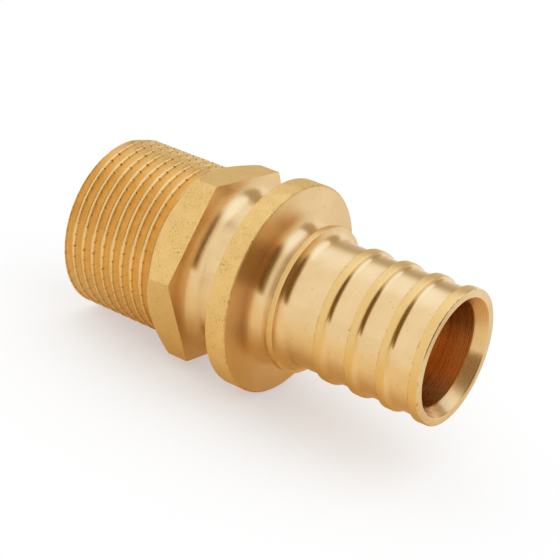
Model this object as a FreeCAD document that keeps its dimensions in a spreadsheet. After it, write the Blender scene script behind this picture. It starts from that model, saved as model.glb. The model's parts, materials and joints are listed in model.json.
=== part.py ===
import FreeCAD, Part

import math
import os
import re

import Sketcher

# Threaded adapter: a one-piece brass pipe fitting with a male pipe thread, a spanner
# hexagon, a flange and a ribbed spigot on one axis. It is turned from one blank, and only
# the hexagon's flats are milled. Stations run along the axis from the threaded end.
# The thread's cylinder stands at the major diameter, and its fine profile is not cut here.

NODE = "adapter_body"

# Driving dimensions, in millimetres, degrees and pieces.
DRIVING = {
    # male parallel pipe thread, 3/4 inch
    "thread_diameter": 26.4,
    "thread_length": 16.15,
    "thread_lead_in": 0.5,
    # spanner hexagon, bevelled on its threaded side
    "hexagon_flats": 27.0,
    "hexagon_length": 5.45,
    "hexagon_corner_trim": 0.06,
    "hexagon_bevel_angle": 41.0,
    # waist between hexagon and flange, where the pressing tool grips
    "waist_diameter": 22.1,
    "waist_length": 7.2,
    "waist_fillet": 2.4,
    # flange that the pressing tool pulls against
    "flange_diameter": 31.6,
    "flange_thickness": 3.3,
    "flange_edge_round": 0.25,
    # stop ring in front of the flange
    "ring_height": 1.6,
    "ring_width": 1.0,
    "ring_gap": 3.6,
    "ring_wall": 0.45,
    "flange_fillet": 2.3,
    "ring_fillet": 1.5,
    # ribbed spigot for the widened plastic pipe
    "spigot_diameter": 18.9,
    "spigot_plain_length": 6.2,
    "rib_height": 0.55,
    "rib_pitch": 5.08,
    "rib_count": 3,
    "rib_land": 0.95,
    "rib_shoulder_width": 0.4,
    "rib_shoulder_radius": 0.7,
    "rib_flank_radius": 0.8,
    "end_rib_width": 1.56,
    "end_round": 0.2,
    # waterway, wider in the threaded end
    "bore_diameter": 15.6,
    "mouth_diameter": 17.6,
    "mouth_depth": 1.8,
    "inlet_diameter": 18.5,
    "inlet_depth": 18.0,
    "inlet_step_angle": 30.0,
    "inlet_chamfer": 0.5,
}

# Sizes that follow from the driving dimensions. A fillet never outgrows its own wall.
DERIVED = {
    "thread_radius": "thread_diameter / 2",
    "corner_radius": "hexagon_flats / 2 / cos(30deg) - hexagon_corner_trim",
    "waist_radius": "waist_diameter / 2",
    "flange_radius": "flange_diameter / 2",
    "spigot_radius": "spigot_diameter / 2",
    "rib_radius": "spigot_radius + rib_height",
    "ring_radius": "spigot_radius + ring_height",
    "bore_radius": "bore_diameter / 2",
    "mouth_radius": "mouth_diameter / 2",
    "inlet_radius": "inlet_diameter / 2",
    "hexagon_start": "thread_length",
    "hexagon_end": "hexagon_start + hexagon_length",
    "bevel_end": "hexagon_start + (corner_radius - thread_radius) * tan(hexagon_bevel_angle * 1deg)",
    "flange_start": "hexagon_end + waist_length",
    "flange_end": "flange_start + flange_thickness",
    "ring_start": "flange_end + ring_gap",
    "ring_end": "ring_start + ring_width",
    "first_rib": "ring_end + spigot_plain_length",
    "end_rib": "first_rib + rib_count * rib_pitch",
    "adapter_length": "end_rib + end_rib_width",
    "waist_blend": "min(waist_fillet; 0.48 * waist_length; hexagon_flats / 2 - waist_radius)",
    "root_blend": "min(flange_fillet; ring_gap; flange_radius - flange_edge_round - spigot_radius)",
    "ring_drop": "ring_height - ring_wall",
    "ring_blend": "max(ring_fillet; ring_drop)",
    "ring_reach": "sqrt(ring_drop * (2 * ring_blend - ring_drop))",
    "shoulder_drop": "rib_shoulder_radius - sqrt(rib_shoulder_radius ^ 2 - rib_shoulder_width ^ 2)",
    "flank_drop": "rib_height - shoulder_drop",
    "flank_blend": "max(rib_flank_radius; flank_drop)",
    "flank_reach": "sqrt(flank_drop * (2 * flank_blend - flank_drop))",
    "inlet_step": "(inlet_radius - bore_radius) / tan(inlet_step_angle * 1deg)",
}

AWAY_FROM_AXIS = 1
TOWARDS_AXIS = -1
CUT_MARGIN = 2.0
# The turned sections stand this many degrees off upright, so the adapter rests on no seam.
SECTION_TURN = 1.8


def make_sheet(doc):
    """Write the driving dimensions and what follows from them into one spreadsheet."""
    sheet = doc.addObject("Spreadsheet::Sheet", "Sizes")
    rows = [(alias, str(number)) for alias, number in DRIVING.items()]
    rows += [(alias, "=" + formula) for alias, formula in DERIVED.items()]
    for row, (alias, content) in enumerate(rows, start=1):
        sheet.set("A%d" % row, alias)
        sheet.set("B%d" % row, content)
        sheet.setAlias("B%d" % row, alias)
    doc.recompute()
    return sheet


def in_sheet(formula):
    """Point every name in a formula at its cell in the spreadsheet."""
    return re.sub(r"[a-z]\w+", r"Sizes.\g<0>", formula)


def value_of(owner, formula):
    """Work a formula out from the spreadsheet, as a plain number."""
    return float(owner.evalExpression(in_sheet(formula)))


def origin_feature(body, role):
    """Return the body's own origin plane or axis of this role."""
    for feature in body.Origin.OriginFeatures:
        if feature.Role == role:
            return feature
    raise ValueError("the body has no " + role)


def new_sketch(body, name, turn=0.0):
    """Start a sketch through the axis, which runs right; the radius runs up, or turned off it."""
    sketch = body.newObject("Sketcher::SketchObject", name)
    sketch.AttachmentSupport = (origin_feature(body, "XZ_Plane"), [""])
    sketch.MapMode = "FlatFace"
    tilt = FreeCAD.Rotation(FreeCAD.Vector(1, 0, 0), turn)
    sketch.AttachmentOffset = FreeCAD.Placement(FreeCAD.Vector(0, 0, 0), tilt)
    body.Document.recompute()
    return sketch


def arc_between(start, end, radius, bulge):
    """Return a short arc, always counterclockwise, and whether it runs from start to end."""
    chord = end - start
    across = FreeCAD.Vector(-chord.y, chord.x, 0).normalize()
    if across.y < 0:
        across = across * -1
    depth = math.sqrt(max(radius ** 2 - (chord.Length / 2) ** 2, 0))
    centre = (start + end) * 0.5 - across * depth * bulge
    first = math.atan2(start.y - centre.y, start.x - centre.x)
    last = math.atan2(end.y - centre.y, end.x - centre.x)
    forward = (last - first) % (2 * math.pi) < math.pi
    if not forward:
        first, last = last, first
    circle = Part.Circle(centre, FreeCAD.Vector(0, 0, 1), radius)
    return Part.ArcOfCircle(circle, first, last), forward


def pin_corner(sketch, edge, point, station, radius):
    """Dimension one corner of a section from the origin, along and across the axis."""
    for kind, axis, formula in (("DistanceX", -2, station), ("DistanceY", -1, radius)):
        if formula == "0":
            sketch.addConstraint(Sketcher.Constraint("PointOnObject", edge, point, axis))
            continue
        distance = value_of(sketch, formula)
        index = sketch.addConstraint(Sketcher.Constraint(kind, -1, 1, edge, point, distance))
        sketch.setExpression("Constraints[%d]" % index, in_sheet(formula))


def draw_section(sketch, corners):
    """Draw a closed half section whose corners and radii are all driven by the sheet.

    A corner is (station, radius) or, where an arc leads on to the next corner,
    (station, radius, arc radius, side to which the arc bulges).
    """
    places = [FreeCAD.Vector(value_of(sketch, corner[0]), value_of(sketch, corner[1]), 0)
              for corner in corners]
    ends = []
    for number, corner in enumerate(corners):
        start = places[number]
        end = places[(number + 1) % len(corners)]
        if len(corner) == 2:
            edge = sketch.addGeometry(Part.LineSegment(start, end), False)
            ends.append((edge, 1, 2))
            continue
        arc, forward = arc_between(start, end, value_of(sketch, corner[2]), corner[3])
        edge = sketch.addGeometry(arc, False)
        ends.append((edge, 1, 2) if forward else (edge, 2, 1))
    for number, (edge, first, last) in enumerate(ends):
        following, start_of_following, _ = ends[(number + 1) % len(ends)]
        sketch.addConstraint(
            Sketcher.Constraint("Coincident", edge, last, following, start_of_following))
        pin_corner(sketch, edge, first, corners[number][0], corners[number][1])
        if len(corners[number]) > 2:
            radius = value_of(sketch, corners[number][2])
            index = sketch.addConstraint(Sketcher.Constraint("Radius", edge, radius))
            sketch.setExpression("Constraints[%d]" % index, in_sheet(corners[number][2]))


def rib_corners(number):
    """Return the corners of one spigot rib: square to the thread, sloped to the pipe."""
    start = "first_rib + %d * rib_pitch" % number
    land_end = start + " + rib_land"
    shoulder_end = land_end + " + rib_shoulder_width"
    return [
        (start, "spigot_radius"),
        (start, "rib_radius"),
        (land_end, "rib_radius", "rib_shoulder_radius", AWAY_FROM_AXIS),
        (shoulder_end, "rib_radius - shoulder_drop", "flank_blend", TOWARDS_AXIS),
        (shoulder_end + " + flank_reach", "spigot_radius"),
    ]


def outer_corners(rib_count):
    """Return the corners of the turned outside, from the threaded end to the spigot's end."""
    corners = [
        ("0", "0"),
        ("0", "thread_radius - thread_lead_in"),
        ("thread_lead_in", "thread_radius"),
        ("hexagon_start", "thread_radius"),
        ("bevel_end", "corner_radius"),
        ("hexagon_end", "corner_radius"),
        ("hexagon_end", "waist_radius + waist_blend", "waist_blend", TOWARDS_AXIS),
        ("hexagon_end + waist_blend", "waist_radius"),
        ("flange_start - waist_blend", "waist_radius", "waist_blend", TOWARDS_AXIS),
        ("flange_start", "waist_radius + waist_blend"),
        ("flange_start", "flange_radius"),
        ("flange_end - flange_edge_round", "flange_radius", "flange_edge_round", AWAY_FROM_AXIS),
        ("flange_end", "flange_radius - flange_edge_round"),
        ("flange_end", "spigot_radius + root_blend", "root_blend", TOWARDS_AXIS),
        ("flange_end + root_blend", "spigot_radius"),
        ("ring_start", "spigot_radius"),
        ("ring_start", "ring_radius"),
        ("ring_end", "ring_radius"),
        ("ring_end", "ring_radius - ring_wall", "ring_blend", TOWARDS_AXIS),
        ("ring_end + ring_reach", "spigot_radius"),
    ]
    for number in range(rib_count):
        corners += rib_corners(number)
    corners += [
        ("end_rib", "spigot_radius"),
        ("end_rib", "rib_radius"),
        ("adapter_length - end_round", "rib_radius", "end_round", AWAY_FROM_AXIS),
        ("adapter_length", "rib_radius - end_round"),
        ("adapter_length", "0"),
    ]
    return corners


def waterway_corners():
    """Return the corners of the waterway, from the threaded end to the spigot's mouth."""
    return [
        ("0", "0"),
        ("0", "inlet_radius + inlet_chamfer"),
        ("inlet_chamfer", "inlet_radius"),
        ("inlet_depth", "inlet_radius"),
        ("inlet_depth + inlet_step", "bore_radius"),
        ("adapter_length - mouth_depth", "bore_radius"),
        ("adapter_length", "mouth_radius"),
        ("adapter_length", "0"),
    ]


def turn_outside(body, sheet):
    """Revolve the outside, with the hexagon still round at its corners."""
    sketch = new_sketch(body, "OutsideSection", SECTION_TURN)
    draw_section(sketch, outer_corners(int(sheet.get("rib_count"))))
    turned = body.newObject("PartDesign::Revolution", "TurnedOutside")
    turned.Profile = sketch
    turned.ReferenceAxis = (sketch, ["H_Axis"])
    turned.Angle = 360.0
    body.Document.recompute()
    return turned


def mill_hexagon(body):
    """Cut one flat across the blank and repeat it round the axis."""
    sketch = new_sketch(body, "FlatSection")
    draw_section(sketch, [
        ("hexagon_start", "hexagon_flats / 2"),
        ("hexagon_start", "corner_radius + %s" % CUT_MARGIN),
        ("hexagon_end", "corner_radius + %s" % CUT_MARGIN),
        ("hexagon_end", "hexagon_flats / 2"),
    ])
    flat = body.newObject("PartDesign::Pocket", "HexagonFlat")
    flat.Profile = sketch
    flat.Midplane = True
    flat.setExpression("Length", in_sheet("2 * corner_radius"))
    body.Document.recompute()
    pattern = body.newObject("PartDesign::PolarPattern", "HexagonPattern")
    pattern.Originals = [flat]
    pattern.Axis = (origin_feature(body, "X_Axis"), [""])
    pattern.Angle = 360.0
    pattern.Occurrences = 6
    body.Tip = pattern
    body.Document.recompute()
    return pattern


def bore_waterway(body):
    """Cut the stepped waterway and its countersunk mouth right through."""
    sketch = new_sketch(body, "WaterwaySection", SECTION_TURN)
    draw_section(sketch, waterway_corners())
    bored = body.newObject("PartDesign::Groove", "Waterway")
    bored.Profile = sketch
    bored.ReferenceAxis = (sketch, ["H_Axis"])
    bored.Angle = 360.0
    body.Document.recompute()
    return bored


def lay_down(body, sheet):
    """Lay the adapter on its flange rim and threaded end, centred on the origin."""
    lead_in = sheet.get("thread_lead_in")
    thread_radius = sheet.get("thread_radius")
    tilt = math.atan2(sheet.get("flange_radius") - thread_radius,
                      sheet.get("flange_start") - lead_in)
    low_end = -(thread_radius - lead_in) * math.sin(tilt)
    high_end = (sheet.get("adapter_length") * math.cos(tilt)
                + (sheet.get("rib_radius") - sheet.get("end_round")) * math.sin(tilt))
    height = thread_radius * math.cos(tilt) - lead_in * math.sin(tilt)
    place = FreeCAD.Vector(-(low_end + high_end) / 2, 0, height)
    turn = FreeCAD.Rotation(FreeCAD.Vector(0, -1, 0), math.degrees(tilt))
    body.Placement = FreeCAD.Placement(place, turn)


def check_document(doc):
    """Stop if any object of the document failed, or if a body is not one valid solid."""
    for item in doc.Objects:
        if "Invalid" in item.State or "Error" in item.State:
            raise ValueError(item.Label + " could not be built")
        if item.TypeId != "PartDesign::Body":
            continue
        if item.Shape.isNull() or not item.Shape.isValid() or len(item.Shape.Solids) != 1:
            raise ValueError(item.Label + " is not one valid solid")


def check_cut(name, before, after):
    """Stop if a cut took nothing away."""
    if after.Shape.Volume > before.Shape.Volume - 1.0:
        raise ValueError(name + " cut nothing")


def main():
    doc = FreeCAD.newDocument("threaded_adapter")
    sheet = make_sheet(doc)
    body = doc.addObject("PartDesign::Body", NODE)
    body.Label = NODE
    outside = turn_outside(body, sheet)
    hexagon = mill_hexagon(body)
    waterway = bore_waterway(body)
    lay_down(body, sheet)
    doc.recompute()
    check_document(doc)
    check_cut("the hexagon", outside, hexagon)
    check_cut("the waterway", hexagon, waterway)
    os.makedirs("parts", exist_ok=True)
    body.Shape.exportStep("parts/%s.step" % body.Label)
    box = body.Shape.optimalBoundingBox(False, False)
    print("volume %.1f mm3" % body.Shape.Volume)
    print("box x %.3f %.3f y %.3f %.3f z %.3f %.3f"
          % (box.XMin, box.XMax, box.YMin, box.YMax, box.ZMin, box.ZMax))


main()
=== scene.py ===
import json
import math
import random

import bmesh
import bpy
import numpy as np
from mathutils import Matrix, Vector


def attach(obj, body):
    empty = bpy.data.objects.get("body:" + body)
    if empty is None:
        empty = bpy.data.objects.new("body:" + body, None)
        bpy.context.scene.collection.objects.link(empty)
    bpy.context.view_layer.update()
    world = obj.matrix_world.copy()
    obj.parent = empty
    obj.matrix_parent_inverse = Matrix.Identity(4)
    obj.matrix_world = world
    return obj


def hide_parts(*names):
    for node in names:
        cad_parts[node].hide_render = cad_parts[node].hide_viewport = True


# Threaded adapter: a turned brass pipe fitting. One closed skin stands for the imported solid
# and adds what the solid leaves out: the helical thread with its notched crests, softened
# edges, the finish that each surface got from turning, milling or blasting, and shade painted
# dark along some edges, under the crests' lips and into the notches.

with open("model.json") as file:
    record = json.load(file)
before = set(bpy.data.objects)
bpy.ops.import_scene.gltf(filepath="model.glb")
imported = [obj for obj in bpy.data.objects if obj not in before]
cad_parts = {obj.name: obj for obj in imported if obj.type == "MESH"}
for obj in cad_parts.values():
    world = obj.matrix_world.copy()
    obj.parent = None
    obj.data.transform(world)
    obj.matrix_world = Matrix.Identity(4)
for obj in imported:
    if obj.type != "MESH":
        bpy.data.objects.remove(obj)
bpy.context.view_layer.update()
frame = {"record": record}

NODE = "adapter_body"
MM = 0.001

# Sizes of the turned section in millimetres and degrees: stations lie along the adapter's own
# axis and start at the threaded end.
THREAD_RADIUS = 13.2
THREAD_LENGTH = 16.15
THREAD_LEAD_IN = 0.5
HEXAGON_SIDES = 6
HEXAGON_FLATS = 27.0
HEXAGON_LENGTH = 5.45
CORNER_TRIM = 0.06
BEVEL_ANGLE = 41.0
WAIST_RADIUS = 11.05
WAIST_LENGTH = 7.2
WAIST_FILLET = 2.4
FLANGE_RADIUS = 15.8
FLANGE_THICKNESS = 3.3
FLANGE_EDGE = 0.25
FLANGE_FILLET = 2.3
RING_GAP = 3.6
RING_WIDTH = 1.0
RING_HEIGHT = 1.6
RING_WALL = 0.45
RING_FILLET = 1.5
SPIGOT_RADIUS = 9.45
SPIGOT_PLAIN_LENGTH = 6.2
RIB_HEIGHT = 0.55
RIB_PITCH = 5.08
RIB_COUNT = 3
RIB_LAND = 0.95
SHOULDER_WIDTH = 0.4
SHOULDER_RADIUS = 0.7
FLANK_RADIUS = 0.8
END_RIB_WIDTH = 1.56
END_ROUND = 0.2
BORE_RADIUS = 7.8
MOUTH_RADIUS = 8.8
MOUTH_DEPTH = 1.8
INLET_RADIUS = 9.25
INLET_DEPTH = 18.0
INLET_STEP_ANGLE = 30.0
INLET_CHAMFER = 0.5

# What follows from them.
HALF_SIDE_ANGLE = 180 / HEXAGON_SIDES
HEXAGON_START = THREAD_LENGTH
HEXAGON_END = HEXAGON_START + HEXAGON_LENGTH
CORNER_RADIUS = HEXAGON_FLATS / 2 / math.cos(math.radians(HALF_SIDE_ANGLE)) - CORNER_TRIM
FLANGE_START = HEXAGON_END + WAIST_LENGTH
FLANGE_END = FLANGE_START + FLANGE_THICKNESS
RING_START = FLANGE_END + RING_GAP
RING_END = RING_START + RING_WIDTH
RING_RADIUS = SPIGOT_RADIUS + RING_HEIGHT
RIB_RADIUS = SPIGOT_RADIUS + RIB_HEIGHT
FIRST_RIB = RING_END + SPIGOT_PLAIN_LENGTH
END_RIB = FIRST_RIB + RIB_COUNT * RIB_PITCH
LENGTH = END_RIB + END_RIB_WIDTH

# How far back from a corner wear starts: on most edges, on crisp ones, and where the hexagon's
# bevel meets its flats. A further ring, SUPPORT times as far off, keeps the surface beside it
# flat, and the middle of the round lies ROUND_DEPTH of the wear inside the corner.
EDGE_WEAR = 0.07
CRISP_WEAR = 0.035
BEVEL_WEAR = 0.12
SUPPORT = 3
ROUND_DEPTH = 0.25

# Middle of the round at the bevel, in shares of its wear: along from the edge, and inwards.
BEVEL_ROUND_ALONG = 0.2
BEVEL_ROUND_IN = 0.12

# How far the hexagon's first ring stands clear of the thread's crests.
CREST_CLEARANCE = 0.02

# Male thread, right-handed: its pitch, the station of its first crest at angle 0, its depth,
# its notches, and the angle of the first one.
PITCH = 1.814
FIRST_CREST = 1.235
THREAD_DEPTH = 1.162
NOTCHES_PER_TURN = 46
NOTCH_SPACING = 360 / NOTCHES_PER_TURN
FIRST_NOTCH_ANGLE = 137.9

# Finishes, in the order of the skin's material slots.
THREAD, BLASTED, TURNED, LAND, BORE, MOUTH = range(6)

# Attribute of the skin that says how much shade is painted dark into an edge, under a crest's lip or
# into a notch.
MARK = "mark"

# Sides that an arc of the section can bulge to.
AWAY_FROM_AXIS = 1
TOWARDS_AXIS = -1

# How finely arcs and the turned body are divided, how near two points lie to become one, in
# millimetres, and the angle from which an edge stays sharp.
ARC_STEP = math.radians(11)
BODY_COLUMNS = 144
MERGE = 0.002
SHARP_ANGLE = math.radians(50)


def mount(name):
    """Return a mount's place in millimetres and its axis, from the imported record."""
    for entry in frame["record"]["mounts"]:
        if entry["name"] == name:
            return Vector(entry["pos_m"]) / MM, Vector(entry["axis"]).normalized()
    raise ValueError("the record has no mount named " + name)


def lay():
    """Return the matrix from the section's axes, in millimetres, to the frame, in metres."""
    middle, axis = mount("waterway")
    seat, _ = mount("threaded_end_face")
    start = middle + axis * (seat - middle).dot(axis)
    across = Vector((0, 1, 0))
    up = axis.cross(across)
    turn = Matrix((axis, across, up)).transposed().to_4x4()
    return Matrix.Scale(MM, 4) @ Matrix.Translation(start) @ turn


def own_axis():
    """Return the direction of the adapter's own axis in the frame."""
    return (lay().to_3x3() @ Vector((1, 0, 0))).normalized()


def round_off(before, here, after, wear):
    """Return the five points of a worn corner, and whether the outer two have room."""
    back = here - before
    on = after - here
    back_length = np.linalg.norm(back)
    on_length = np.linalg.norm(on)
    wear = min(wear, back_length / SUPPORT, on_length / SUPPORT)
    back = back / back_length
    on = on / on_length
    points = [here - back * wear * SUPPORT,
              here - back * wear,
              here - (back - on) * wear * ROUND_DEPTH,
              here + on * wear,
              here + on * wear * SUPPORT]
    room = wear * (SUPPORT + 1)
    return points, back_length > room, on_length > room


class Outline:
    """A half section drawn corner by corner, each stretch with the finish of its surface."""

    def __init__(self, station, radius):
        self.points = [np.array((station, radius))]
        self.wear = [0.0]
        self.marks = [0.0]
        self.finishes = []

    def line(self, station, radius, finish, wear=EDGE_WEAR, mark=0.0):
        """Go straight to the next corner, which loses so much to wear and gets so much painted
        shade.
        """
        self.points.append(np.array((station, radius)))
        self.wear.append(wear)
        self.marks.append(mark)
        self.finishes.append(finish)

    def arc(self, station, radius, bend, side, finish, wear=EDGE_WEAR, mark=0.0):
        """Go to the next corner along an arc of this bend, bulging to this side."""
        start = self.points[-1]
        end = np.array((station, radius))
        chord = end - start
        across = np.array((-chord[1], chord[0])) / np.linalg.norm(chord)
        if across[1] < 0:
            across = -across
        depth = math.sqrt(max(bend ** 2 - chord.dot(chord) / 4, 0))
        centre = (start + end) / 2 - across * depth * side
        first = math.atan2(*(start - centre)[::-1])
        sweep = (math.atan2(*(end - centre)[::-1]) - first + math.pi) % (2 * math.pi) - math.pi
        steps = max(2, math.ceil(abs(sweep) / ARC_STEP))
        for step in range(1, steps + 1):
            angle = first + sweep * step / steps
            point = centre + bend * np.array((math.cos(angle), math.sin(angle)))
            self.points.append(point if step < steps else end)
            self.wear.append(0.0 if step < steps else wear)
            self.marks.append(mark if step < steps else 0.0)
            self.finishes.append(finish)

    def worn(self):
        """Return the section's points, marks and finishes, each worn corner a small round."""
        points = [self.points[0]]
        marks = [self.marks[0]]
        finishes = []
        for number in range(1, len(self.points)):
            here = self.points[number]
            mark = self.marks[number]
            finish = self.finishes[number - 1]
            if self.wear[number] == 0 or number == len(self.points) - 1:
                points.append(here)
                marks.append(mark)
                finishes.append(finish)
                continue
            corner, keep_first, keep_last = round_off(self.points[number - 1], here,
                                                      self.points[number + 1], self.wear[number])
            kept = slice(0 if keep_first else 1, 5 if keep_last else 4)
            points += corner[kept]
            marks += [0.0, mark, mark, mark, 0.0][kept]
            finishes += [finish] * (3 if keep_first else 2)
            finishes += [self.finishes[number]] * (2 if keep_last else 1)
        return points, marks, finishes


def turned_outside():
    """Draw the outside from the hexagon's spigot side to the end face's outer edge."""
    # Marks paint shade along the flange's rounded rim edge, the top edges of the thread-side walls
    # of the ring and the ribs, and the round at the end.
    section = Outline(HEXAGON_END, WAIST_RADIUS + WAIST_FILLET)
    section.arc(HEXAGON_END + WAIST_FILLET, WAIST_RADIUS, WAIST_FILLET, TOWARDS_AXIS, TURNED, 0)
    section.line(FLANGE_START - WAIST_FILLET, WAIST_RADIUS, TURNED, 0)
    section.arc(FLANGE_START, WAIST_RADIUS + WAIST_FILLET, WAIST_FILLET, TOWARDS_AXIS, TURNED, 0)
    section.line(FLANGE_START, FLANGE_RADIUS, TURNED)
    section.line(FLANGE_END - FLANGE_EDGE, FLANGE_RADIUS, BLASTED, 0)
    section.arc(FLANGE_END, FLANGE_RADIUS - FLANGE_EDGE, FLANGE_EDGE, AWAY_FROM_AXIS, BLASTED, 0,
                mark=0.6)
    section.line(FLANGE_END, SPIGOT_RADIUS + FLANGE_FILLET, TURNED, 0)
    section.arc(FLANGE_END + FLANGE_FILLET, SPIGOT_RADIUS, FLANGE_FILLET, TOWARDS_AXIS, TURNED, 0)
    section.line(RING_START, SPIGOT_RADIUS, TURNED, CRISP_WEAR)
    section.line(RING_START, RING_RADIUS, TURNED, mark=0.5)
    section.line(RING_END, RING_RADIUS, LAND)
    section.line(RING_END, RING_RADIUS - RING_WALL, TURNED, 0)
    ring_drop = RING_HEIGHT - RING_WALL
    ring_reach = math.sqrt(ring_drop * (2 * RING_FILLET - ring_drop))
    section.arc(RING_END + ring_reach, SPIGOT_RADIUS, RING_FILLET, TOWARDS_AXIS, TURNED, 0)
    for number in range(RIB_COUNT):
        rib(section, FIRST_RIB + number * RIB_PITCH)
    section.line(END_RIB, SPIGOT_RADIUS, TURNED, CRISP_WEAR)
    section.line(END_RIB, RIB_RADIUS, TURNED, mark=0.8)
    section.line(LENGTH - END_ROUND, RIB_RADIUS, LAND, 0)
    section.arc(LENGTH, RIB_RADIUS - END_ROUND, END_ROUND, AWAY_FROM_AXIS, TURNED, 0, mark=0.7)
    return section


def rib(section, start):
    """Add one rib of the spigot: square towards the thread, sloped towards the pipe."""
    shoulder_drop = SHOULDER_RADIUS - math.sqrt(SHOULDER_RADIUS ** 2 - SHOULDER_WIDTH ** 2)
    shoulder_end = start + RIB_LAND + SHOULDER_WIDTH
    flank_drop = RIB_HEIGHT - shoulder_drop
    flank_reach = math.sqrt(flank_drop * (2 * FLANK_RADIUS - flank_drop))
    section.line(start, SPIGOT_RADIUS, TURNED, CRISP_WEAR)
    # The mark paints shade along the top edge of the rib's square wall.
    section.line(start, RIB_RADIUS, TURNED, mark=0.9)
    section.line(start + RIB_LAND, RIB_RADIUS, LAND, 0)
    section.arc(shoulder_end, RIB_RADIUS - shoulder_drop, SHOULDER_RADIUS, AWAY_FROM_AXIS,
                LAND, 0)
    section.arc(shoulder_end + flank_reach, SPIGOT_RADIUS, FLANK_RADIUS, TOWARDS_AXIS, TURNED, 0)


def waterway():
    """Draw the end face, the countersunk mouth, the bore, the wide inlet and the other end."""
    section = Outline(LENGTH, RIB_RADIUS - END_ROUND)
    section.line(LENGTH, MOUTH_RADIUS, TURNED)
    section.line(LENGTH - MOUTH_DEPTH, BORE_RADIUS, MOUTH)
    inlet_step = (INLET_RADIUS - BORE_RADIUS) / math.tan(math.radians(INLET_STEP_ANGLE))
    section.line(INLET_DEPTH + inlet_step, BORE_RADIUS, BORE)
    section.line(INLET_DEPTH, INLET_RADIUS, BORE)
    section.line(INLET_CHAMFER, INLET_RADIUS, BORE)
    section.line(0, INLET_RADIUS + INLET_CHAMFER, BORE)
    section.line(0, THREAD_RADIUS - THREAD_DEPTH - EDGE_WEAR, TURNED)
    return section


def body_angles():
    """Return the angles of the skin's columns, with extra ones at the hexagon's corners."""
    even = np.arange(BODY_COLUMNS) * (360 / BODY_COLUMNS)
    corners = HALF_SIDE_ANGLE + 2 * HALF_SIDE_ANGLE * np.arange(HEXAGON_SIDES)
    trim = math.degrees(math.acos(HEXAGON_FLATS / 2 / CORNER_RADIUS))
    beside = HALF_SIDE_ANGLE - trim
    extra = np.concatenate([corners - beside, corners + beside])
    return np.radians(np.unique(np.round(np.concatenate([even, extra]), decimals=6)))


def hexagon_radius(angles):
    """Return how far out the hexagon reaches at each angle; its flats face up and down."""
    from_flat = (np.degrees(angles) - 90 + HALF_SIDE_ANGLE) % (2 * HALF_SIDE_ANGLE) - HALF_SIDE_ANGLE
    return np.minimum(HEXAGON_FLATS / 2 / np.cos(np.radians(from_flat)), CORNER_RADIUS)


def hexagon_rings(angles):
    """Return the hexagon's rings from the thread to the waist, and their finishes."""
    reach = hexagon_radius(angles)
    slope = math.radians(BEVEL_ANGLE)
    inwards = BEVEL_WEAR * math.cos(slope)
    backwards = BEVEL_WEAR * math.sin(slope)
    edge = HEXAGON_START + (reach - THREAD_RADIUS) * math.tan(slope)
    level = np.ones_like(angles)
    end = HEXAGON_END * level
    rings = [
        (HEXAGON_START * level, (THREAD_RADIUS + CREST_CLEARANCE) * level),
        (edge - SUPPORT * backwards, reach - SUPPORT * inwards),
        (edge - backwards, reach - inwards),
        (edge + BEVEL_ROUND_ALONG * BEVEL_WEAR, reach - BEVEL_ROUND_IN * BEVEL_WEAR),
        (edge + BEVEL_WEAR, reach),
        (edge + SUPPORT * BEVEL_WEAR, reach),
        (end - SUPPORT * CRISP_WEAR, reach),
        (end - CRISP_WEAR, reach),
        (end - ROUND_DEPTH * CRISP_WEAR, reach - ROUND_DEPTH * CRISP_WEAR),
        (end, reach - CRISP_WEAR),
        (end, reach - SUPPORT * CRISP_WEAR),
        (end, (WAIST_RADIUS + WAIST_FILLET) * level),
    ]
    # The bevel with its round looks like the rib lands: cut, then dulled by blasting.
    finishes = [LAND] * 4 + [BLASTED] * 5 + [TURNED] * 2
    return rings, finishes


def revolve(section, angles):
    """Turn a section's points into rings of the same columns, with their finishes."""
    points, marks, finishes = section.worn()
    level = np.ones_like(angles)
    rings = [(station * level, radius * level, mark * level)
             for (station, radius), mark in zip(points, marks)]
    return rings, finishes


# Form of one thread turn from crest to crest: distance along the axis and depth below the
# crest. The rolled crest has a small lip on its spigot side, and the root is round. The helix
# starts some turns in front of the end face, which cuts it off.
THREAD_FORM = (
    (-0.17, 0.12), (-0.115, 0.03), (-0.06, 0.002), (0.05, 0.002), (0.10, 0.04), (0.15, 0.17),
    (0.18, 0.24), (0.22, 0.32), (0.28, 0.42), (0.58, 0.96), (0.71, 1.10), (0.907, THREAD_DEPTH),
    (1.10, 1.10), (1.23, 0.96), (1.52, 0.33),
)
TURNS_IN_FRONT = 2

# Notches across the crests: the columns at each in shares of the spacing, half the width, the
# depth, how far they slant round for each millimetre along, how much they differ in size, and
# how far they slide round.
NOTCH_COLUMNS = (-0.5, -0.34, -0.22, -0.15, -0.09, -0.04, 0.02, 0.07, 0.13, 0.2, 0.32)
NOTCH_HALF_WIDTH = 0.09
NOTCH_DEPTH = 0.14
NOTCH_SLANT = 0.5
NOTCH_SIZES = (0.5, 1.25)
NOTCH_SLIDE = 0.05
NOTCH_SEED = 46

# The burr at each notch: its height, and how far aside it stands in half widths.
BURR_HEIGHT = 0.13
BURR_ASIDE = 1.2

# Painted shade in a dark line under the crest's lip: how dark it is, how much darker near a
# notch, and how many half widths the darker part reaches.
LIP_SHADE = 0.25
LIP_SHADE_AT_NOTCH = 0.3
LINE_NOTCH_REACH = 3

# Stretches of the form that the notch, its burr, the shade painted into it and the shade painted
# under the lip lie on: middle and half length along the axis.
NOTCH_STRETCH = (0.05, 0.13)
BURR_STRETCH = (0.19, 0.07)
NOTCH_SHADE_STRETCH = (0.07, 0.15)
LIP_SHADE_STRETCH = (0.18, 0.05)

# Length over which the thread runs out against the hexagon, and the step it leaves there.
RUN_OUT = 0.5
RUN_OUT_STEP = 0.02


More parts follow.
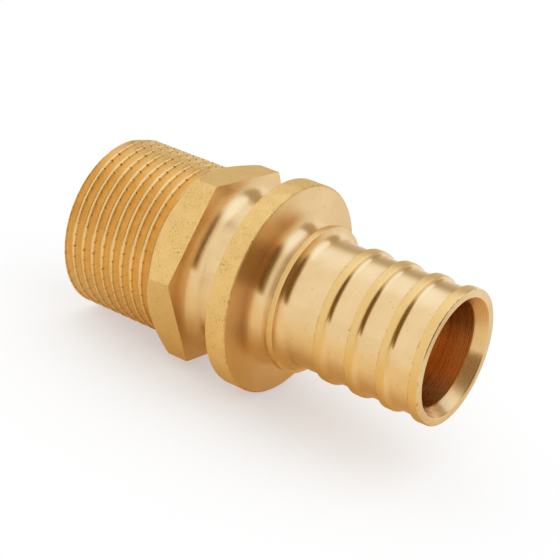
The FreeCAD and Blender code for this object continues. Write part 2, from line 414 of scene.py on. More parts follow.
def thread_angles():
    """Return the angles of the thread's columns, closer together at each notch."""
    angles = [FIRST_NOTCH_ANGLE + (notch + part) * NOTCH_SPACING
              for notch in range(NOTCHES_PER_TURN) for part in NOTCH_COLUMNS]
    return np.radians(np.sort(np.array(angles) % 360))


def hump(along, stretch):
    """Return 1 in the middle of a stretch of the thread's form, and 0 well outside it."""
    middle, half_length = stretch
    return math.exp(-((along - middle) / half_length) ** 4)


def notched(along, depth, offset, strength):
    """Return the radii and the painted shade of one row of the thread's form, with its notches."""
    groove = np.exp(-offset ** 2) * strength
    burr = np.exp(-(offset + BURR_ASIDE) ** 2) * strength
    radius = THREAD_RADIUS - depth
    radius = radius - NOTCH_DEPTH * groove * hump(along, NOTCH_STRETCH)
    radius = radius + BURR_HEIGHT * burr * hump(along, BURR_STRETCH)
    wide = np.exp(-(offset / LINE_NOTCH_REACH) ** 2) * strength
    lip_shade = (LIP_SHADE + LIP_SHADE_AT_NOTCH * wide) * hump(along, LIP_SHADE_STRETCH)
    notch_shade = groove * hump(along, NOTCH_SHADE_STRETCH)
    return np.minimum(radius, THREAD_RADIUS), np.minimum(1, np.maximum(notch_shade, lip_shade))


def cut_to_length(stations, radii):
    """Return the thread's radii with the lead-in, the run-out and both ends closed."""
    lead_in = THREAD_RADIUS - THREAD_LEAD_IN + np.maximum(stations, 0)
    radii = np.minimum(radii, lead_in)
    run_out = THREAD_RADIUS - THREAD_DEPTH * np.clip((THREAD_LENGTH - stations) / RUN_OUT, 0.0, 1.0)
    radii = np.maximum(radii, run_out - RUN_OUT_STEP)
    # Past either end of the thread each column stays where it meets that end.
    for column in range(stations.shape[1]):
        along = stations[:, column]
        for end, past in ((0, along < 0), (THREAD_LENGTH, along > THREAD_LENGTH)):
            radii[past, column] = np.interp(end, along, radii[:, column])
    return radii


def thread_surface(angles):
    """Return the thread's stations, radii and painted shade, row by row along its helix."""
    crest = FIRST_CREST + PITCH * angles / (2 * math.pi)
    from_first = np.degrees(angles) - FIRST_NOTCH_ANGLE
    nearest = np.round(from_first / NOTCH_SPACING)
    aside = np.radians(from_first - nearest * NOTCH_SPACING) * THREAD_RADIUS
    which = nearest.astype(int) % NOTCHES_PER_TURN
    luck = random.Random(NOTCH_SEED)
    stations = []
    radii = []
    marks = []
    for turn in range(-TURNS_IN_FRONT, math.ceil(THREAD_LENGTH / PITCH) + 1):
        sizes = [luck.uniform(*NOTCH_SIZES) for _ in range(NOTCHES_PER_TURN)]
        slides = [luck.uniform(-NOTCH_SLIDE, NOTCH_SLIDE) for _ in range(NOTCHES_PER_TURN)]
        strength = np.array(sizes)[which]
        slide = np.array(slides)[which]
        for along, depth in THREAD_FORM:
            offset = (aside - slide + NOTCH_SLANT * along) / NOTCH_HALF_WIDTH
            radius, mark = notched(along, depth, offset, strength)
            stations.append(crest + turn * PITCH + along)
            radii.append(radius)
            marks.append(mark)
    stations = np.array(stations)
    radii = cut_to_length(stations, np.array(radii))
    return np.clip(stations, 0, THREAD_LENGTH), radii, np.array(marks)


class Skin:
    """A closed surface put together from rings of points round the adapter's axis."""

    def __init__(self, place):
        self.place = place
        self.points = []
        self.marks = []
        self.faces = []
        self.finishes = []

    def ring(self, angles, stations, radii, marks=None):
        """Add a ring and return the numbers of its points."""
        first = len(self.points)
        self.marks += list(np.zeros_like(angles) if marks is None else marks)
        across = radii * np.cos(angles)
        up = radii * np.sin(angles)
        self.points += list(zip(stations, across, up))
        return list(range(first, first + len(angles)))

    def face(self, corners, finish):
        """Add one face, unless fewer than three of its corners differ."""
        if len(set(corners)) > 2:
            self.faces.append(tuple(dict.fromkeys(corners)))
            self.finishes.append(finish)

    def join(self, one, other, finish):
        """Join two rings of the same columns."""
        for column in range(len(one)):
            after = (column + 1) % len(one)
            self.face((one[column], one[after], other[after], other[column]), finish)

    def stitch(self, one, one_angles, other, other_angles, finish):
        """Join two rings whose columns differ, with triangles in order of angle."""
        left = right = 0
        while left < len(one) or right < len(other):
            next_left = one_angles[left + 1] if left + 1 < len(one) else 2 * math.pi + left
            next_right = other_angles[right + 1] if right + 1 < len(other) else 2 * math.pi + right
            a, b = one[left % len(one)], other[right % len(other)]
            step_left = right >= len(other) or (left < len(one) and next_left <= next_right)
            if step_left:
                left += 1
                self.face((a, one[left % len(one)], b), finish)
            else:
                right += 1
                self.face((a, other[right % len(other)], b), finish)

    def mesh(self, name):
        """Return the skin as a mesh in the frame, in metres, with its sharp edges marked."""
        data = bpy.data.meshes.new(name)
        data.from_pydata([self.place @ Vector(point) for point in self.points], [], self.faces)
        data.polygons.foreach_set("material_index", self.finishes)
        data.attributes.new(MARK, "FLOAT", "POINT").data.foreach_set("value", self.marks)
        work = bmesh.new()
        work.from_mesh(data)
        bmesh.ops.remove_doubles(work, verts=work.verts, dist=MERGE * MM)
        bmesh.ops.dissolve_degenerate(work, edges=work.edges, dist=MERGE * MM)
        bmesh.ops.recalc_face_normals(work, faces=work.faces)
        work.to_mesh(data)
        work.free()
        data.shade_smooth()
        data.set_sharp_from_angle(angle=SHARP_ANGLE)
        return data


def thread_skin(skin):
    """Add the thread; return its angles and its rings at the end face and the hexagon."""
    angles = thread_angles()
    stations, radii, marks = thread_surface(angles)
    rings = [skin.ring(angles, stations[row], radii[row], marks[row])
             for row in range(len(stations))]
    # A row's last column joins the first column of the same row one turn further on.
    turn = len(THREAD_FORM)
    last = len(angles) - 1
    for row in range(len(rings) - 1):
        for column in range(last):
            skin.face((rings[row][column], rings[row][column + 1],
                       rings[row + 1][column + 1], rings[row + 1][column]), THREAD)
        if row + turn + 1 < len(rings):
            skin.face((rings[row][last], rings[row + turn][0],
                       rings[row + turn + 1][0], rings[row + 1][last]), THREAD)
    return angles, rings[0], rings[-1]


def build_adapter():
    """Build the adapter's skin in one piece, from the thread round to the waterway."""
    skin = Skin(lay())
    angles = body_angles()
    thread, start, end = thread_skin(skin)
    hexagon, hexagon_finishes = hexagon_rings(angles)
    outside, outside_finishes = revolve(turned_outside(), angles)
    inside, inside_finishes = revolve(waterway(), angles)
    # Each section starts on the last ring of the one before it.
    rings = hexagon + outside[1:] + inside[1:]
    finishes = hexagon_finishes + outside_finishes + inside_finishes
    rows = [skin.ring(angles, *ring) for ring in rings]
    for row, finish in enumerate(finishes):
        skin.join(rows[row], rows[row + 1], finish)
    skin.stitch(end, thread, rows[0], angles, TURNED)
    skin.stitch(rows[-1], angles, start, thread, TURNED)
    piece = bpy.data.objects.new("adapter_skin", skin.mesh("adapter_skin"))
    bpy.context.scene.collection.objects.link(piece)
    return piece


class Nodes:
    """A node tree that is filled by short calls."""

    def __init__(self, tree):
        self.tree = tree

    def add(self, kind, settings=None, **inputs):
        """Add a node, set its properties and set or link its inputs; return the node."""
        node = self.tree.nodes.new("ShaderNode" + kind)
        for name, value in (settings or {}).items():
            setattr(node, name, value)
        for name, value in inputs.items():
            socket = self.find(node, name)
            if isinstance(value, bpy.types.NodeSocket):
                self.tree.links.new(value, socket)
            else:
                socket.default_value = value
        return node

    @staticmethod
    def find(node, name):
        """Return the input whose name, in small letters with underscores, this is."""
        if name.startswith("input_"):
            return node.inputs[int(name[len("input_"):])]
        for socket in node.inputs:
            if socket.name.lower().replace(" ", "_") == name and socket.enabled:
                return socket
        raise ValueError(node.name + " has no input " + name)

    def math(self, operation, one, other=0.0):
        """Return the result of a sum on two numbers."""
        return self.add("Math", {"operation": operation}, input_0=one, input_1=other).outputs[0]

    def dot(self, one, other):
        """Return the dot product of two vectors."""
        node = self.add("VectorMath", {"operation": "DOT_PRODUCT"}, input_0=one, input_1=other)
        return node.outputs["Value"]

    def length(self, vector):
        """Return the length of a vector."""
        node = self.add("VectorMath", {"operation": "LENGTH"}, input_0=vector)
        return node.outputs["Value"]

    def between(self, share, low, high):
        """Return what lies at this share of the way from one number to another."""
        return self.add("MapRange", None, value=share, to_min=low, to_max=high).outputs[0]

    def spread(self, value, low, high, to_low=0.0, to_high=1.0):
        """Return a number moved from one range to another, smoothly and kept inside it."""
        settings = {"interpolation_type": "SMOOTHSTEP"}
        node = self.add("MapRange", settings, value=value, from_min=low, from_max=high,
                        to_min=to_low, to_max=to_high)
        return node.outputs[0]

    def blend(self, factor, one, other):
        """Return one colour mixed into another."""
        node = self.add("Mix", {"data_type": "RGBA"}, input_0=factor, input_6=one, input_7=other)
        return node.outputs[2]

    def noise(self, vector, scale, detail=2.0, roughness=0.5, w=None):
        """Return a noise value; with w it is a four-dimensional noise."""
        settings = {"noise_dimensions": "3D" if w is None else "4D"}
        inputs = {"vector": vector, "scale": scale, "detail": detail, "roughness": roughness}
        if w is not None:
            inputs["w"] = w
        return self.add("TexNoise", settings, **inputs).outputs[0]

    def bump(self, height, depth, normal=None):
        """Return a normal bumped by a height, whose full range is this many millimetres."""
        inputs = {"height": height, "distance": depth * MM}
        if normal is not None:
            inputs["normal"] = normal
        return self.add("Bump", None, **inputs).outputs[0]


def own_axes(nodes):
    """Return the place in the section's millimetres, its three parts and its radius."""
    place = lay()
    where = nodes.add("TexCoord").outputs["Object"]
    mapping = nodes.add("Mapping", {"vector_type": "TEXTURE"}, vector=where,
                        location=place.to_translation(), rotation=place.to_euler(),
                        scale=(MM, MM, MM))
    parts = nodes.add("SeparateXYZ", None, vector=mapping.outputs[0])
    across = nodes.math("MULTIPLY", parts.outputs[1], parts.outputs[1])
    up = nodes.math("MULTIPLY", parts.outputs[2], parts.outputs[2])
    radius = nodes.math("SQRT", nodes.math("ADD", across, up))
    return mapping.outputs[0], parts.outputs, radius


def tool_marks(nodes, fineness, length, detail=3.0):
    """Return a noise of rings round the axis: so many per millimetre, and so long."""
    _, (station, across, up), radius = own_axes(nodes)
    stretch = nodes.math("MULTIPLY", radius, length)
    spot = nodes.add("CombineXYZ", None,
                     x=nodes.math("MULTIPLY", station, fineness),
                     y=nodes.math("DIVIDE", across, stretch),
                     z=nodes.math("DIVIDE", up, stretch))
    return nodes.noise(spot.outputs[0], scale=1.0, detail=detail, roughness=0.6,
                       w=nodes.math("MULTIPLY", radius, fineness))


def round_direction(nodes):
    """Return the direction in which the lathe's marks run, in the frame."""
    where = nodes.add("TexCoord").outputs["Object"]
    arm = nodes.add("VectorMath", {"operation": "SUBTRACT"}, input_0=where,
                    input_1=lay().to_translation())
    way = nodes.add("VectorMath", {"operation": "CROSS_PRODUCT"}, input_0=own_axis(),
                    input_1=arm.outputs[0])
    way = nodes.add("VectorMath", {"operation": "NORMALIZE"}, input_0=way.outputs[0])
    return way.outputs[0]


# Turn of the highlights on brushed metal: they spread across the tool's marks.
QUARTER_TURN = 0.25


def finish_material(name, build, brushed):
    """Make a metal material; build returns its colour, roughness and normal."""
    material = bpy.data.materials.new(name)
    material.use_nodes = True
    shader = material.node_tree.nodes["Principled BSDF"]
    shader.inputs["Metallic"].default_value = 1
    nodes = Nodes(material.node_tree)
    for socket, value in zip(("Base Color", "Roughness", "Normal"), build(nodes)):
        material.node_tree.links.new(value, shader.inputs[socket])
    if brushed:
        shader.inputs["Anisotropic"].default_value = brushed
        shader.inputs["Anisotropic Rotation"].default_value = QUARTER_TURN
        material.node_tree.links.new(round_direction(nodes), shader.inputs["Tangent"])
    return material


# Brass: the colours that its turned and its blasted surfaces mirror white with. A tint scales
# their red, green and blue, and the first of these is that of the shade painted into marked
# places.
TURNED_BRASS = (0.86, 0.63, 0.34)
BLASTED_BRASS = (0.875, 0.605, 0.242)
PAINTED_SHADE = (0.30, 0.20, 0.12)
PLAIN = (1, 1, 1)

# Ranges that most values of a noise lie in: for roughness and grain, and for soft clouds.
NOISE_RANGE = (0.3, 0.7)
CLOUD_RANGE = (0.3, 0.75)

# How squarely a turned surface has to face along the axis to begin and to finish as a face.
FACING = (0.8, 1.0)


def shade(brass, tint):
    """Return a brass colour with its three parts scaled."""
    return (brass[0] * tint[0], brass[1] * tint[1], brass[2] * tint[2], 1)


def across_the_axis(nodes):
    """Return how squarely the surface faces along the axis: 0 on a barrel, 1 on a face."""
    normal = nodes.add("TexCoord").outputs["Normal"]
    return nodes.spread(nodes.math("ABSOLUTE", nodes.dot(normal, own_axis())), *FACING)


def paint_shade(nodes, color, brass, low, high):
    """Return a colour with shade painted in, dark and ragged, where the skin is marked."""
    place, _, _ = own_axes(nodes)
    mark = nodes.add("Attribute", {"attribute_name": MARK}).outputs["Fac"]
    ragged = nodes.noise(place, scale=1.1, detail=5.0, roughness=0.75)
    amount = nodes.math("MULTIPLY", mark, nodes.spread(ragged, low, high))
    return nodes.blend(amount, color, shade(brass, PAINTED_SHADE))


# Turned surfaces: tints of the clouds and the specks, how strong the specks are, and the
# roughness of barrels and faces in the tool's smoothest and roughest rings.
TURNED_CLOUD = (0.95, 0.93, 0.88)
TURNED_SPECK = (0.55, 0.42, 0.28)
SPECK_STRENGTH = 0.6
BARREL_ROUGHNESS = (0.165, 0.24)
FACE_ROUGHNESS = (0.28, 0.35)


def turned_finish(nodes):
    """Lathe work: fine rings round the axis, duller where the tool faced across it."""
    place, _, _ = own_axes(nodes)
    fine = tool_marks(nodes, fineness=9.0, length=1.0)
    broad = tool_marks(nodes, fineness=2.2, length=1.2)
    cloud = nodes.noise(place, scale=0.35, detail=3.0)
    color = nodes.blend(nodes.spread(cloud, *CLOUD_RANGE), shade(TURNED_BRASS, PLAIN),
                        shade(TURNED_BRASS, TURNED_CLOUD))
    specks = nodes.spread(nodes.noise(place, scale=2.6), low=0.70, high=0.74)
    color = nodes.blend(nodes.math("MULTIPLY", specks, SPECK_STRENGTH), color,
                        shade(TURNED_BRASS, TURNED_SPECK))
    color = paint_shade(nodes, color, TURNED_BRASS, low=0.5, high=0.65)
    barrel = nodes.spread(fine, *NOISE_RANGE, *BARREL_ROUGHNESS)
    face = nodes.spread(fine, *NOISE_RANGE, *FACE_ROUGHNESS)
    roughness = nodes.between(across_the_axis(nodes), barrel, face)
    normal = nodes.bump(broad, depth=0.011)
    return color, roughness, nodes.bump(fine, depth=0.006, normal=normal)


# Blasted surfaces: tints of the clean and the clouded metal, of the grain's hollows and of the
# pits, how strong and how deep the pits are, and the roughness.
BLASTED_CLEAN = (1.01, 1.01, 1.02)
BLASTED_CLOUD = (0.96, 0.95, 0.9)
BLASTED_HOLLOW = (0.9, 0.87, 0.8)
BLASTED_PIT = (0.5, 0.42, 0.3)
PIT_STRENGTH = 0.7
PIT_DEPTH = 0.8
BLASTED_ROUGHNESS = (0.38, 0.5)


def blasted_finish(nodes):
    """Fine blasted grain with scattered dark pits, as on forged and milled flats."""
    place, _, _ = own_axes(nodes)
    grain = nodes.noise(place, scale=4.5, detail=5.0, roughness=0.7)
    pits = nodes.noise(place, scale=5.0)
    cloud = nodes.noise(place, scale=0.5, detail=3.0)
    pitted = nodes.math("MULTIPLY", nodes.spread(pits, low=0.60, high=0.68),
                        nodes.spread(cloud, low=0.36, high=0.58))
    color = nodes.blend(nodes.spread(cloud, *NOISE_RANGE), shade(BLASTED_BRASS, BLASTED_CLEAN),
                        shade(BLASTED_BRASS, BLASTED_CLOUD))
    color = nodes.blend(nodes.spread(grain, low=0.35, high=0.65),
                        shade(BLASTED_BRASS, BLASTED_HOLLOW), color)
    color = nodes.blend(nodes.math("MULTIPLY", pitted, PIT_STRENGTH), color,
                        shade(BLASTED_BRASS, BLASTED_PIT))
    color = paint_shade(nodes, color, BLASTED_BRASS, low=0.5, high=0.68)
    roughness = nodes.spread(grain, *NOISE_RANGE, *BLASTED_ROUGHNESS)
    height = nodes.math("SUBTRACT", grain, nodes.math("MULTIPLY", pitted, PIT_DEPTH))
    return color, roughness, nodes.bump(height, depth=0.05)


# Rib lands: tints of the grain's hollows and heights, and the roughness.
LAND_HOLLOW = (0.97, 0.96, 0.98)
LAND_HEIGHT = (0.90, 0.88, 0.85)
LAND_ROUGHNESS = (0.30, 0.42)


def land_finish(nodes):
    """Rib lands: the lathe's rings, dulled by blasting."""
    place, _, _ = own_axes(nodes)
    fine = tool_marks(nodes, fineness=7.0, length=0.5)
    grain = nodes.noise(place, scale=6.0, detail=3.0, roughness=0.6)
    color = nodes.blend(nodes.spread(grain, low=0.35, high=0.7),
                        shade(BLASTED_BRASS, LAND_HOLLOW), shade(BLASTED_BRASS, LAND_HEIGHT))
    color = paint_shade(nodes, color, BLASTED_BRASS, low=0.5, high=0.65)
    roughness = nodes.spread(grain, *NOISE_RANGE, *LAND_ROUGHNESS)
    normal = nodes.bump(grain, depth=0.018)
    return color, roughness, nodes.bump(fine, depth=0.006, normal=normal)


# Thread: tints of the clean and the clouded metal, and the roughness.
THREAD_CLEAN = (1.0, 1.0, 1.1)
THREAD_CLOUD = (0.97, 0.95, 1.0)
THREAD_ROUGHNESS = (0.24, 0.31)


def thread_finish(nodes):
    """Thread: burnished by rolling, with faint marks along the helix."""
    place, _, _ = own_axes(nodes)
    fine = tool_marks(nodes, fineness=6.0, length=0.25)
    cloud = nodes.noise(place, scale=0.8, detail=3.0)
    color = nodes.blend(nodes.spread(cloud, *CLOUD_RANGE), shade(BLASTED_BRASS, THREAD_CLEAN),
                        shade(BLASTED_BRASS, THREAD_CLOUD))
    color = paint_shade(nodes, color, BLASTED_BRASS, low=0.1, high=0.4)
    roughness = nodes.spread(cloud, *NOISE_RANGE, *THREAD_ROUGHNESS)
    return color, roughness, nodes.bump(fine, depth=0.003)


# Waterway: tints of the clean and the clouded metal and of the bright rings, and the roughness.
BORE_CLEAN = (1.05, 0.82, 0.52)
BORE_CLOUD = (0.95, 0.69, 0.38)
BORE_RING = (1.06, 0.88, 0.64)
BORE_ROUGHNESS = (0.2, 0.36)


def bore_finish(nodes):
    """Waterway: rings left by the boring tool, some of them bright, on dulled reddish brass."""
    place, _, _ = own_axes(nodes)
    fine = tool_marks(nodes, fineness=9.0, length=6.0, detail=1.5)
    broad = tool_marks(nodes, fineness=2.5, length=3.0)
    cloud = nodes.noise(place, scale=0.5, detail=3.0)
    color = nodes.blend(nodes.spread(cloud, *CLOUD_RANGE), shade(TURNED_BRASS, BORE_CLEAN),
                        shade(TURNED_BRASS, BORE_CLOUD))
    color = nodes.blend(nodes.spread(fine, low=0.60, high=0.74), color,
                        shade(TURNED_BRASS, BORE_RING))
    roughness = nodes.spread(fine, *NOISE_RANGE, *BORE_ROUGHNESS)
    normal = nodes.bump(broad, depth=0.02)
    return color, roughness, nodes.bump(fine, depth=0.034, normal=normal)


# Mouth: tints of the rings' grooves and heights, and the roughness.
MOUTH_GROOVE = (0.85, 0.78, 0.62)
MOUTH_HEIGHT = (1.02, 1.02, 1.05)
MOUTH_ROUGHNESS = (0.2, 0.32)


def mouth_finish(nodes):
    """Countersunk mouth: clear rings from the tool on bright brass."""
    fine = tool_marks(nodes, fineness=8.0, length=3.0, detail=2.0)
    broad = tool_marks(nodes, fineness=2.5, length=3.0)
    color = nodes.blend(nodes.spread(fine, low=0.35, high=0.65),
                        shade(TURNED_BRASS, MOUTH_GROOVE), shade(TURNED_BRASS, MOUTH_HEIGHT))
    roughness = nodes.spread(fine, *NOISE_RANGE, *MOUTH_ROUGHNESS)
    normal = nodes.bump(broad, depth=0.015)
    return color, roughness, nodes.bump(fine, depth=0.03, normal=normal)


# Name, finish and how strongly brushed, in the order of the material slots.
FINISHES = (
    ("brass_thread", thread_finish, 0.5),
    ("brass_blasted", blasted_finish, 0.0),
    ("brass_turned", turned_finish, 0.95),
    ("brass_land", land_finish, 0.3),
    ("brass_bore", bore_finish, 0.9),
    ("brass_mouth", mouth_finish, 0.9),
)


def dress(piece):
    """Give the skin its finishes, in the order of its material slots."""
    for name, build, brushed in FINISHES:
        piece.data.materials.append(finish_material(name, build, brushed))


# The camera that a fit to the photograph gave: focal length and sensor in millimetres, place
# in metres and turn in degrees, and the nearest distance that it shows.
FOCAL_LENGTH = 107.887
SENSOR_WIDTH = 36
CAMERA_PLACE = (0.10973487, -0.19467837, 0.10903654)
CAMERA_TURN = (66.75386, -14.41093, 35.47708)
CAMERA_NEAREST = 0.01


def make_camera():
    """Put the camera where the photograph was taken from."""
    lens = bpy.data.cameras.new("camera")
    lens.lens = FOCAL_LENGTH
    lens.sensor_width = SENSOR_WIDTH
    lens.sensor_fit = "HORIZONTAL"
    lens.clip_start = CAMERA_NEAREST
    camera = bpy.data.objects.new("camera", lens)
    camera.location = CAMERA_PLACE
    camera.rotation_euler = [math.radians(angle) for angle in CAMERA_TURN]
    bpy.context.scene.collection.objects.link(camera)
    bpy.context.scene.camera = camera


def seen_directly(nodes):
    """Return 1 for what the camera, a reflection or a view through glass looks at."""
    path = nodes.add("LightPath").outputs
    seen = nodes.math("MAXIMUM", path["Is Camera Ray"], path["Is Glossy Ray"])
    return nodes.math("MAXIMUM", seen, path["Is Transmission Ray"])


def stage_object(name, points, faces):
    """Make a mesh that belongs to the studio and not to the adapter."""
    mesh = bpy.data.meshes.new(name)
    mesh.from_pydata(points, [], faces)
    piece = bpy.data.objects.new(name, mesh)
    bpy.context.scene.collection.objects.link(piece)
    return piece


# The floor, in metres: half its side, and the distances from the middle between which its own
# glow grows from the near share to the far one, so that the shadow fades into white.
FLOOR_HALF = 8.0
FLOOR_FADE = (0.01, 0.075)
FLOOR_NEAR_GLOW = 0.42
FLOOR_FAR_GLOW = 0.9
FLOOR_ROUGHNESS = 0.9
FLOOR_WHITE = (0.98, 0.98, 0.98)

# What reflections see of it: a warmer white, with painted warm shade in a band through the
# middle, with the direction across the band and the distances between which it ends, and a
# painted shadow tinted by brass bounce light in an oval by the adapter, with its middle, half
# lengths and the shares of them where it ends.
FLOOR_REFLECTED = (0.96, 0.94, 0.9)
PAINTED_WARM_SHADE = (0.95, 0.82, 0.60)
WARMTH_SIDE = (-0.5, -0.87, 0)
WARMTH_FADE = (0.0, 0.06)
PAINTED_BOUNCE_SHADOW = (0.72, 0.48, 0.22)
BOUNCE_PLACE = (0.006, 0.010, 0)
BOUNCE_REACH = (0.045, 0.022, 1)
BOUNCE_FADE = (0.6, 1.3)


def floor_color(nodes, where, reflected):
    """Return the floor's colour: white to the eye, and in reflections with painted warm shade and a
    painted brass-tinted shadow by the adapter.
    """
    aside = nodes.math("ABSOLUTE", nodes.dot(where, WARMTH_SIDE))
    warm = nodes.blend(nodes.spread(aside, *WARMTH_FADE), (*PAINTED_WARM_SHADE, 1), (*FLOOR_REFLECTED, 1))
    plain = nodes.blend(reflected, (*FLOOR_WHITE, 1), warm)
    oval = nodes.add("Mapping", {"vector_type": "TEXTURE"}, vector=where,
                     location=BOUNCE_PLACE, scale=BOUNCE_REACH)
    near = nodes.spread(nodes.length(oval.outputs[0]), *BOUNCE_FADE, 1.0, 0.0)
    return nodes.blend(nodes.math("MULTIPLY", reflected, near), plain, (*PAINTED_BOUNCE_SHADOW, 1))


def make_floor():
    """Lay a white floor: the adapter's shadow stays near it and fades into white beyond."""
    half = FLOOR_HALF
    floor = stage_object("floor", [(-half, -half, 0), (half, -half, 0), (half, half, 0),
                                   (-half, half, 0)], [(0, 1, 2, 3)])
    paint = bpy.data.materials.new("floor_paint")
    paint.use_nodes = True
    links = paint.node_tree.links
    shader = paint.node_tree.nodes["Principled BSDF"]
    shader.inputs["Roughness"].default_value = FLOOR_ROUGHNESS
    shader.inputs["Specular IOR Level"].default_value = 0.0
    nodes = Nodes(paint.node_tree)
    where = nodes.add("TexCoord").outputs["Object"]
    reflected = nodes.add("LightPath").outputs["Is Glossy Ray"]
    color = floor_color(nodes, where, reflected)
    links.new(color, shader.inputs["Base Color"])
    far = nodes.spread(nodes.length(where), *FLOOR_FADE)
    glowing = nodes.between(far, FLOOR_NEAR_GLOW, FLOOR_FAR_GLOW)
    share = nodes.math("MULTIPLY", seen_directly(nodes), glowing)
    white = nodes.blend(reflected, (1, 1, 1, 1), color)
    glow = nodes.add("Emission", None, color=white).outputs[0]
    mixed = nodes.add("MixShader", None, input_0=share, input_1=shader.outputs[0], input_2=glow)
    links.new(mixed.outputs[0], paint.node_tree.nodes["Material Output"].inputs["Surface"])
    floor.data.materials.append(paint)


# Cards round the adapter, as a photographer places them: a dark one beside the camera with a
# wider warm one behind it, an amber one that joins them on the right, and a grey and a pale one
# that close the gap behind. Each is a rounded patch of a sphere: azimuth and elevation of its
# middle, half its width and height, all in degrees, the colour of its glow, its distance in
# metres, the share of it that fades towards its edges, and how many degrees fade at its foot.
CARDS = (
    dict(name="dark_card", azimuth=-26, elevation=14, half_width=48, half_height=56,
         color=(0.17, 0.08, 0.01), distance=0.80, fade=0.3, foot_fade=11),
    dict(name="warm_card", azimuth=-26, elevation=14, half_width=66, half_height=68,
         color=(0.78, 0.60, 0.33), distance=0.83, fade=0.5, foot_fade=0),
    dict(name="amber_card", azimuth=22, elevation=10, half_width=34, half_height=40,
         color=(0.78, 0.60, 0.34), distance=0.86, fade=0.4, foot_fade=0),
    dict(name="grey_card", azimuth=90, elevation=34, half_width=52, half_height=18,
         color=(0.50, 0.42, 0.29), distance=0.92, fade=0.6, foot_fade=0),
    dict(name="back_card", azimuth=126, elevation=12, half_width=24, half_height=24,
         color=(0.62, 0.56, 0.44), distance=0.95, fade=0.6, foot_fade=0),
)

# How square the cards are, how finely they are divided, and the elevation they end at below.
CARD_ROUNDNESS = 3.0
CARD_STEPS = 48
CARD_FOOT = -2

# Attribute of a card that says how much of its glow shows.
FADE = "fade"


def eased(share):
    """Return a share kept between 0 and 1, with a soft start and end."""
    share = min(1.0, max(0.0, share))
    return share * share * (3 - 2 * share)


def card_spot(along, up, azimuth, elevation, half_width, half_height, distance, fade, foot_fade):
    """Return the place of one point of a card, and how much of its glow shows there."""
    turn = math.radians(azimuth + along * half_width)
    height = max(elevation + up * half_height, CARD_FOOT)
    rise = math.radians(height)
    level = math.cos(rise) * distance
    place = (level * math.cos(turn), level * math.sin(turn), distance * math.sin(rise))
    # A card that reaches the floor fades only upwards and sideways.
    above = up if elevation < half_height else abs(up)
    reach = abs(along) ** CARD_ROUNDNESS + max(above, 0) ** CARD_ROUNDNESS
    edge = eased((1 - reach ** (1 / CARD_ROUNDNESS)) / fade)
    foot = eased((height - CARD_FOOT) / foot_fade) if foot_fade else 1.0
    return place, edge * foot


def make_card(name, color, **form):
    """Hang a curved card with soft edges, which only reflections show."""
    width = CARD_STEPS + 1
    spots = [card_spot(2 * column / CARD_STEPS - 1, 2 * row / CARD_STEPS - 1, **form)
             for row in range(width) for column in range(width)]
    faces = [(row * width + column, row * width + column + 1,
              (row + 1) * width + column + 1, (row + 1) * width + column)
             for row in range(CARD_STEPS) for column in range(CARD_STEPS)]
    card = stage_object(name, [place for place, _ in spots], faces)
    fades = card.data.attributes.new(FADE, "FLOAT", "POINT")
    fades.data.foreach_set("value", [shown for _, shown in spots])
    card.data.materials.append(card_paint(name + "_paint", color))
    card.visible_camera = False
    card.visible_diffuse = False
    card.visible_shadow = False


def card_paint(name, color):
    """Make a card's even glow, which its fade lets through at the edges."""
    paint = bpy.data.materials.new(name)
    paint.use_nodes = True
    paint.node_tree.nodes.clear()
    nodes = Nodes(paint.node_tree)
    glow = nodes.add("Emission", None, color=(*color, 1)).outputs[0]
    clear = nodes.add("BsdfTransparent").outputs[0]
    fade = nodes.add("Attribute", {"attribute_name": FADE}).outputs["Fac"]
    mixed = nodes.add("MixShader", None, input_0=fade, input_1=clear, input_2=glow).outputs[0]
    nodes.add("OutputMaterial", None, surface=mixed)
    return paint


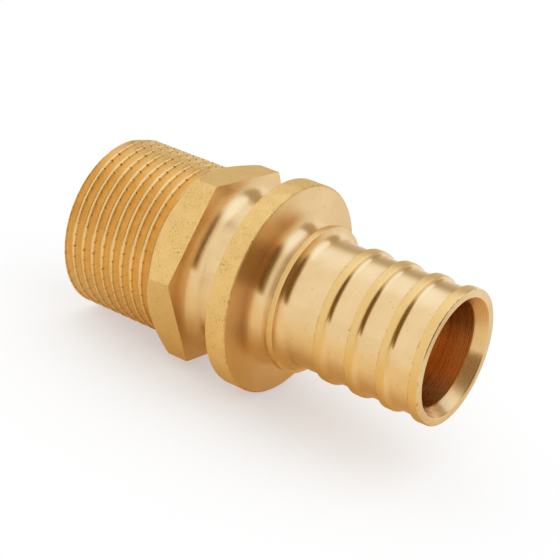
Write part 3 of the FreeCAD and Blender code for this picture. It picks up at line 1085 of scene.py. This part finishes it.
# The soft box overhead, a little behind the adapter: its direction in degrees, its distance
# and diameter in metres, its colour, and how bright it is beside the white surround. It is
# hidden from reflections, where a patch of the surround stands for it, which fades between
# these cosines of the angle from the soft box's direction.
SOFT_BOX_AZIMUTH = 95
SOFT_BOX_ELEVATION = 74
SOFT_BOX_DISTANCE = 1.0
SOFT_BOX_DIAMETER = 1.1
SOFT_BOX_COLOR = (0.86, 0.93, 1.0)
SOFT_BOX_BRIGHTNESS = 0.3
PATCH_GLOW = (1.15, 1.30, 1.62)
PATCH_FADE = (0.78, 0.97)


def soft_box_direction():
    """Return the direction from the adapter to the soft box."""
    azimuth = math.radians(SOFT_BOX_AZIMUTH)
    elevation = math.radians(SOFT_BOX_ELEVATION)
    return Vector((math.cos(elevation) * math.cos(azimuth),
                   math.cos(elevation) * math.sin(azimuth), math.sin(elevation)))


def make_world():
    """Surround the adapter with white, brighter and cooler overhead in its reflections."""
    world = bpy.data.worlds.new("studio")
    bpy.context.scene.world = world
    world.use_nodes = True
    nodes = Nodes(world.node_tree)
    where = nodes.add("TexCoord").outputs["Generated"]
    overhead = nodes.dot(where, soft_box_direction())
    reflected = nodes.add("LightPath").outputs["Is Glossy Ray"]
    patch = nodes.math("MULTIPLY", reflected, nodes.spread(overhead, *PATCH_FADE))
    color = nodes.blend(patch, (1, 1, 1, 1), (*PATCH_GLOW, 1))
    background = world.node_tree.nodes["Background"]
    background.inputs["Strength"].default_value = 1
    world.node_tree.links.new(color, background.inputs["Color"])


def make_soft_box():
    """Hang one large soft light over the adapter."""
    lamp = bpy.data.lights.new("soft_box", "AREA")
    lamp.shape = "DISK"
    lamp.size = SOFT_BOX_DIAMETER
    lamp.color = SOFT_BOX_COLOR
    area = math.pi / 4 * SOFT_BOX_DIAMETER ** 2
    lamp.energy = SOFT_BOX_BRIGHTNESS * math.pi * area
    box = bpy.data.objects.new("soft_box", lamp)
    way = soft_box_direction()
    box.location = way * SOFT_BOX_DISTANCE
    box.rotation_euler = way.to_track_quat("Z", "Y").to_euler()
    box.visible_camera = False
    box.visible_glossy = False
    bpy.context.scene.collection.objects.link(box)


adapter = build_adapter()
dress(adapter)
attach(adapter, "root")
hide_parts(NODE)

make_camera()
make_floor()
for card in CARDS:
    make_card(**card)
make_world()
make_soft_box()
bpy.context.scene.view_settings.view_transform = "Standard"
